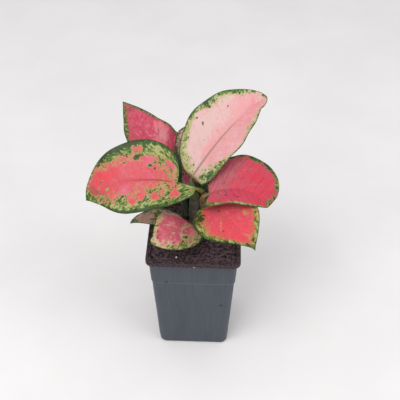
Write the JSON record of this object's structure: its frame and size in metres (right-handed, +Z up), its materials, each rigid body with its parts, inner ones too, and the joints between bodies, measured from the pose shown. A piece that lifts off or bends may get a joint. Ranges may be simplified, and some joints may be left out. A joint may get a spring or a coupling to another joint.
{
  "type": "potted chinese evergreen",
  "caption": "Young red-leaved chinese evergreen with broad mottled pink and green leaves in a tall square dark grey nursery pot filled with peat.",
  "frame": {"origin": "middle of the flat pad under the pot, at the level of the surface it stands on", "axes": "+Z up the pot and the stem, -Y towards the front, where two leaves hang over the rim, +X to the right seen from the front"},
  "size_m": [0.2022, 0.1543, 0.277],
  "materials": {
    "pot_plastic": "satin dark slate grey, faint vertical flow marks, dusted with soil at the rim",
    "peat": "coarse damp dark brown peat with fibres and a few white grains, rough",
    "stem_green": "smooth green, purplish at the sheaths, satin",
    "leaf_pale_pink": "waxy, pale pink and cream, green speckled margin",
    "leaf_coral_mottled": "waxy, coral red with green and yellow mottling, green margin",
    "leaf_deep_pink": "waxy, deep pink, thin dark green margin",
    "leaf_purple_pink": "waxy, purplish pink, dark green margin",
    "leaf_crimson_pink": "waxy, crimson pink with purple veins, thin grey green margin",
    "leaf_bright_coral": "waxy, bright coral pink with a mottled yellow green margin",
    "leaf_magenta_cream": "waxy, magenta pink with a cream and green margin",
    "leaf_brown_green": "waxy, brownish pink and dull green"
  },
  "bodies": {
    "root": {"pot": "pot_plastic", "soil": "peat", "stem": "stem_green", "leaf_tall": "leaf_pale_pink", "leaf_left": "leaf_coral_mottled", "leaf_back_left": "leaf_deep_pink", "leaf_back": "leaf_purple_pink", "leaf_right": "leaf_crimson_pink", "leaf_front_right": "leaf_bright_coral", "leaf_front_left": "leaf_magenta_cream", "leaf_low_left": "leaf_brown_green"}
  },
  "joints": []
}
